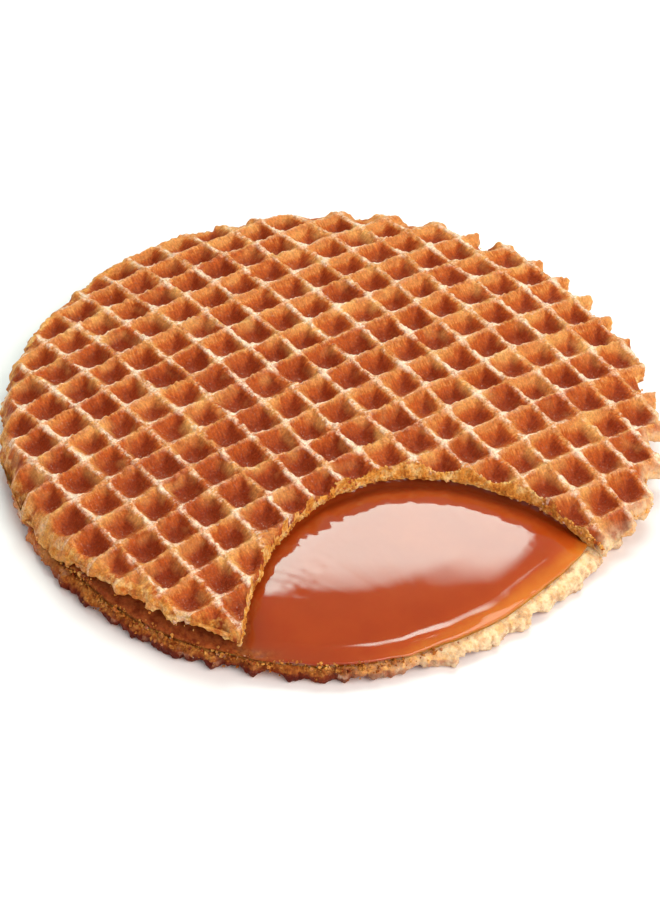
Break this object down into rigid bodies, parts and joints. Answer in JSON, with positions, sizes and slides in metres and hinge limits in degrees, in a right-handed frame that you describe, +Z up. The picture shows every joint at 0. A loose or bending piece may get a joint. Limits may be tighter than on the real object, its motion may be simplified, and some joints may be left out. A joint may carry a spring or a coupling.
{
  "type": "stroopwafel",
  "caption": "Round domed biscuit of two thin waffle-patterned wafers with a caramel syrup layer between them, and a bite out of the upper wafer that bares the glossy syrup.",
  "frame": {"origin": "middle of the underside, on the ridge tops that the biscuit lies on", "axes": "+Z up through the biscuit's thickness, -Y towards the bitten side, +X to the right seen from that side"},
  "size_m": [0.0876, 0.0879, 0.0096],
  "materials": {
    "lower_wafer": null,
    "caramel": null,
    "upper_wafer": null
  },
  "bodies": {
    "root": {"lower_wafer": "lower_wafer", "caramel": "caramel", "upper_wafer": "upper_wafer"}
  },
  "joints": []
}
